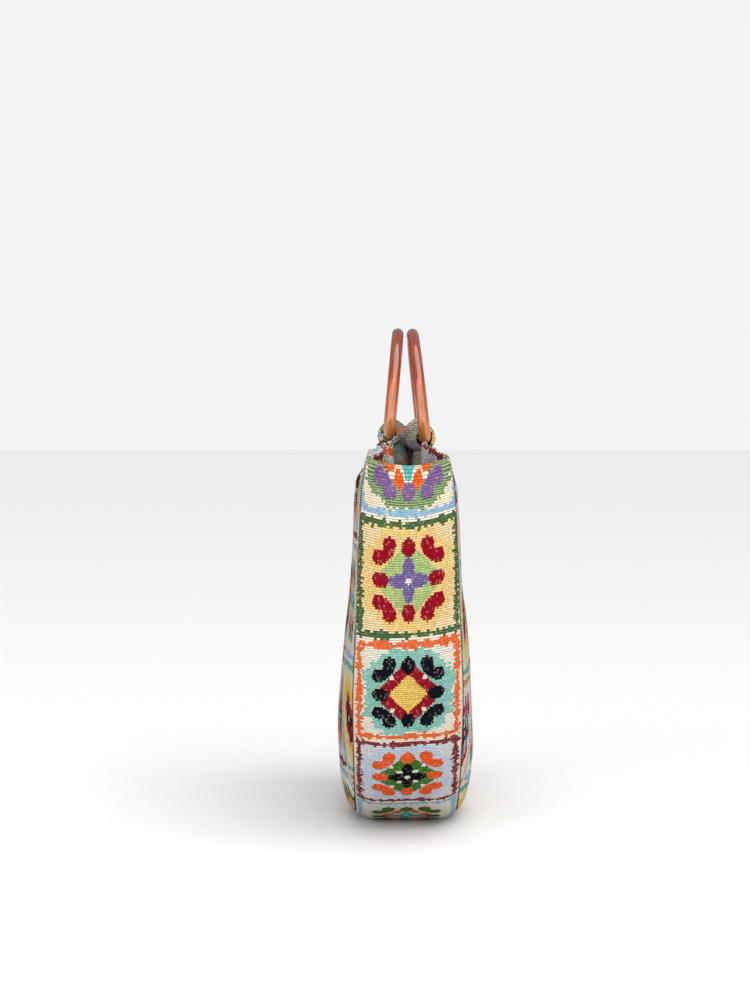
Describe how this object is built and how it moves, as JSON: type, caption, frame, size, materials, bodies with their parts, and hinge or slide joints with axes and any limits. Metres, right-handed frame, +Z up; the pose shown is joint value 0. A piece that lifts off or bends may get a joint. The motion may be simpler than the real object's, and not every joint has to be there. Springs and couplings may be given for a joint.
{
  "type": "wooden handle bag",
  "caption": "Soft cloth handbag with a rounded body, a wide side strip and round wooden D handles held in gathered casings.",
  "frame": {"origin": "middle of the bag's footprint, on the surface that it stands on", "axes": "+X along the bag from side to side, +Y from the front panel to the back panel, +Z up"},
  "size_m": [0.464, 0.121, 0.4387],
  "materials": {
    "woven_cloth": "ribbed jacquard cotton",
    "lacquered_wood": "glossy reddish-brown lacquer"
  },
  "bodies": {
    "cloth_body": {"gusset": "woven_cloth", "front_panel": "woven_cloth", "back_panel": "woven_cloth"},
    "front_ring": {"front_handle": "lacquered_wood"},
    "back_ring": {"back_handle": "lacquered_wood"}
  },
  "joints": [
    {"name": "front_handle_swing", "type": "hinge", "parent": "cloth_body", "child": "front_ring", "pos_m": [0, -0.0152, 0.3415], "axis": [0.9997, 0, 0.0262], "range_deg": [-0.5, 85]},
    {"name": "back_handle_swing", "type": "hinge", "parent": "cloth_body", "child": "back_ring", "pos_m": [0, 0.0165, 0.3415], "axis": [-0.9996, 0, 0.0297], "range_deg": [-0.5, 85]}
  ]
}
